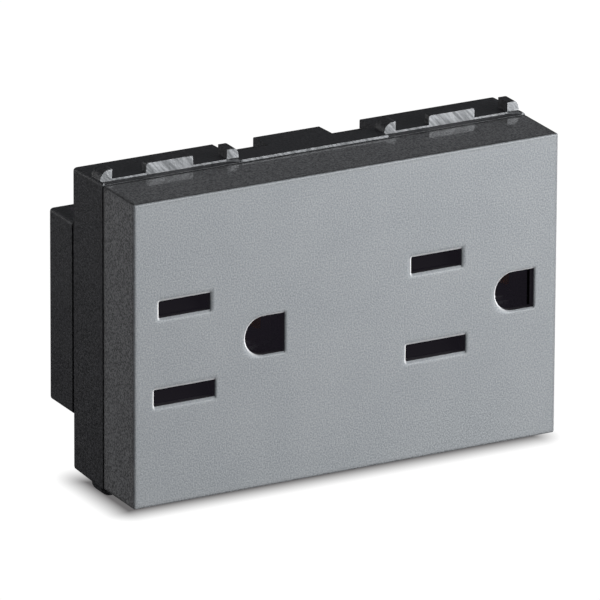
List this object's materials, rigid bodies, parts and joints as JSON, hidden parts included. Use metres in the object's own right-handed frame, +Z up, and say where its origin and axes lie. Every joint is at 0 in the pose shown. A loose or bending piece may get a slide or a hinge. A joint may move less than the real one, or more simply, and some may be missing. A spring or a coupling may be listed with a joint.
{
  "type": "duplex wall outlet",
  "caption": "Modular duplex wall outlet: silver cover with two sideways three-pin sockets on a black clip-in body with shutters, contacts and screw terminals inside.",
  "frame": {"origin": "centre of the cover's front face", "axes": "+X right along the face, +Y from the face back into the wall, +Z up"},
  "size_m": [0.066, 0.0252, 0.0474],
  "materials": {
    "silver_paint": "fine-grained silver paint on a moulded shell",
    "black_plastic": "moulded black thermoplastic",
    "shutter_plastic": "moulded matt black",
    "brass": "stamped brass sheet",
    "spring_bronze": "rolled phosphor bronze strip",
    "spring_steel": "drawn spring wire",
    "plated_steel": "zinc-plated steel"
  },
  "bodies": {
    "outlet_body": {"front_cover": "silver_paint", "clip_frame": "black_plastic", "rear_housing": "black_plastic", "shutter_spring_left": "spring_steel", "shutter_spring_right": "spring_steel", "line_bar": "brass", "neutral_bar": "brass", "earth_bar": "brass", "line_leaf_left": "spring_bronze", "line_leaf_right": "spring_bronze", "neutral_leaf_left": "spring_bronze", "neutral_leaf_right": "spring_bronze", "earth_grip_left": "spring_bronze", "earth_grip_right": "spring_bronze", "line_rivet_left": "plated_steel", "line_rivet_right": "plated_steel", "neutral_rivet_left": "plated_steel", "neutral_rivet_right": "plated_steel", "earth_rivet_left": "plated_steel", "earth_rivet_right": "plated_steel"},
    "shutter_left_body": {"shutter_left": "shutter_plastic"},
    "shutter_right_body": {"shutter_right": "shutter_plastic"},
    "line_clamp_cage_body": {"line_clamp_cage": "plated_steel"},
    "neutral_clamp_cage_body": {"neutral_clamp_cage": "plated_steel"},
    "earth_clamp_cage_body": {"earth_clamp_cage": "plated_steel"},
    "line_terminal_screw_body": {"line_terminal_screw": "plated_steel"},
    "neutral_terminal_screw_body": {"neutral_terminal_screw": "plated_steel"},
    "earth_terminal_screw_body": {"earth_terminal_screw": "plated_steel"}
  },
  "joints": [
    {"name": "shutter_left_slide", "type": "slide", "parent": "outlet_body", "child": "shutter_left_body", "axis": [0, 0, -1], "range_m": [0, 0.0029], "stiffness_N_per_m": 150, "springref_m": -0.002, "deforming": ["shutter_spring_left"]},
    {"name": "shutter_right_slide", "type": "slide", "parent": "outlet_body", "child": "shutter_right_body", "axis": [0, 0, -1], "range_m": [0, 0.0029], "stiffness_N_per_m": 150, "springref_m": -0.002, "deforming": ["shutter_spring_right"]},
    {"name": "line_screw_turn", "type": "hinge", "parent": "outlet_body", "child": "line_terminal_screw_body", "pos_m": [-0.01022, 0.02155, 0.0137], "axis": [0, 0, -1], "range_deg": [0, 1728]},
    {"name": "line_cage_slide", "type": "slide", "parent": "outlet_body", "child": "line_clamp_cage_body", "axis": [0, 0, 1], "range_m": [0, 0.0024]},
    {"name": "neutral_screw_turn", "type": "hinge", "parent": "outlet_body", "child": "neutral_terminal_screw_body", "pos_m": [-0.00562, 0.02155, -0.0137], "axis": [0, 0, 1], "range_deg": [0, 1728]},
    {"name": "neutral_cage_slide", "type": "slide", "parent": "outlet_body", "child": "neutral_clamp_cage_body", "axis": [0, 0, -1], "range_m": [0, 0.0024]},
    {"name": "earth_screw_turn", "type": "hinge", "parent": "outlet_body", "child": "earth_terminal_screw_body", "pos_m": [-0.00103, 0.02155, 0.0137], "axis": [0, 0, -1], "range_deg": [0, 1728]},
    {"name": "earth_cage_slide", "type": "slide", "parent": "outlet_body", "child": "earth_clamp_cage_body", "axis": [0, 0, 1], "range_m": [0, 0.0024]}
  ],
  "couplings": [
    {"joint": "line_screw_turn", "follows": "line_cage_slide", "rad_per_m": 12566},
    {"joint": "neutral_screw_turn", "follows": "neutral_cage_slide", "rad_per_m": 12566},
    {"joint": "earth_screw_turn", "follows": "earth_cage_slide", "rad_per_m": 12566}
  ]
}
